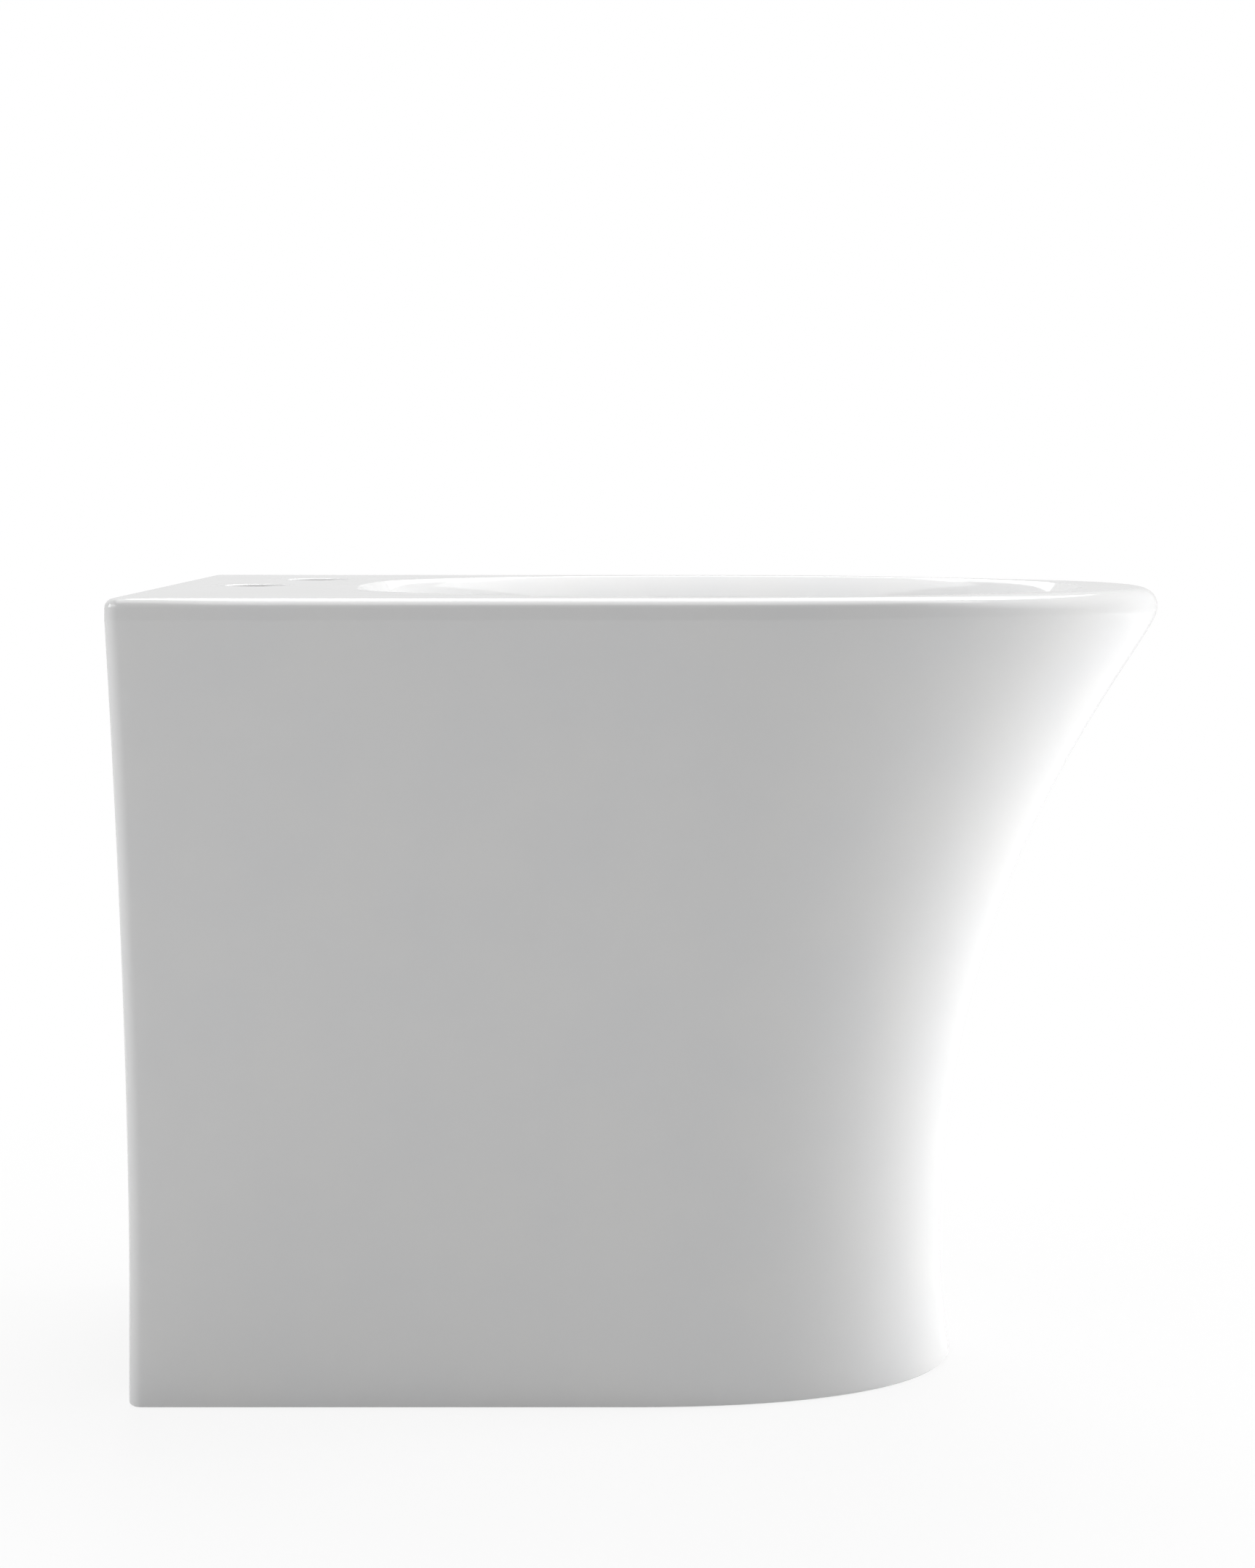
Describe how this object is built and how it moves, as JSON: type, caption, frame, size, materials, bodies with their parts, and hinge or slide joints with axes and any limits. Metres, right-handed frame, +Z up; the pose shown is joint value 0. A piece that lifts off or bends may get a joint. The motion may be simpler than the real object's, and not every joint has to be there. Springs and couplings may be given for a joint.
{
  "type": "bidet",
  "caption": "Floor-standing back-to-wall bidet in white glazed ceramic, with an open bowl, deck holes, overflow, push-open waste and a bottle trap inside an open-backed skirt.",
  "frame": {"origin": "on the floor, under the middle of the body's length and width", "axes": "+X away from the wall towards the user, +Y to the right of a person who faces the wall, +Z up"},
  "size_m": [0.5501, 0.3602, 0.42],
  "materials": {
    "glazed_ceramic": "white gloss glaze",
    "chrome": "polished",
    "brass": "turned, dull",
    "spring_steel": "drawn wire",
    "galvanised_steel": "zinc coated",
    "black_rubber": "moulded, dull",
    "white_plastic": "moulded, satin gloss",
    "grey_plastic": "moulded, dull"
  },
  "bodies": {
    "bidet": {"ceramic_body": "glazed_ceramic", "overflow_ring": "chrome", "waste_body": "chrome", "waste_backnut": "brass", "click_spring": "spring_steel", "floor_hook_left": "galvanised_steel", "floor_hook_right": "galvanised_steel", "flange_seal": "black_rubber", "cone_washer": "black_rubber", "inlet_washer": "black_rubber", "neck_washer": "black_rubber", "outlet_washer": "black_rubber", "cup_seal": "black_rubber", "hook_pads": "black_rubber", "inlet_nut": "white_plastic", "dip_tube": "white_plastic", "neck_nut": "white_plastic", "trap_body": "white_plastic", "trap_cup": "white_plastic", "outlet_nut": "white_plastic", "outlet_pipe": "white_plastic", "wall_rosette": "white_plastic", "click_cartridge": "grey_plastic", "slip_washer": "grey_plastic"},
    "plug": {"plug_stem": "brass", "plug_seal": "black_rubber", "plug_cap": "chrome"}
  },
  "joints": [
    {"name": "plug_slide", "type": "slide", "parent": "bidet", "child": "plug", "axis": [0, 0, 1], "range_m": [0, 0.009], "deforming": ["click_spring"]}
  ]
}
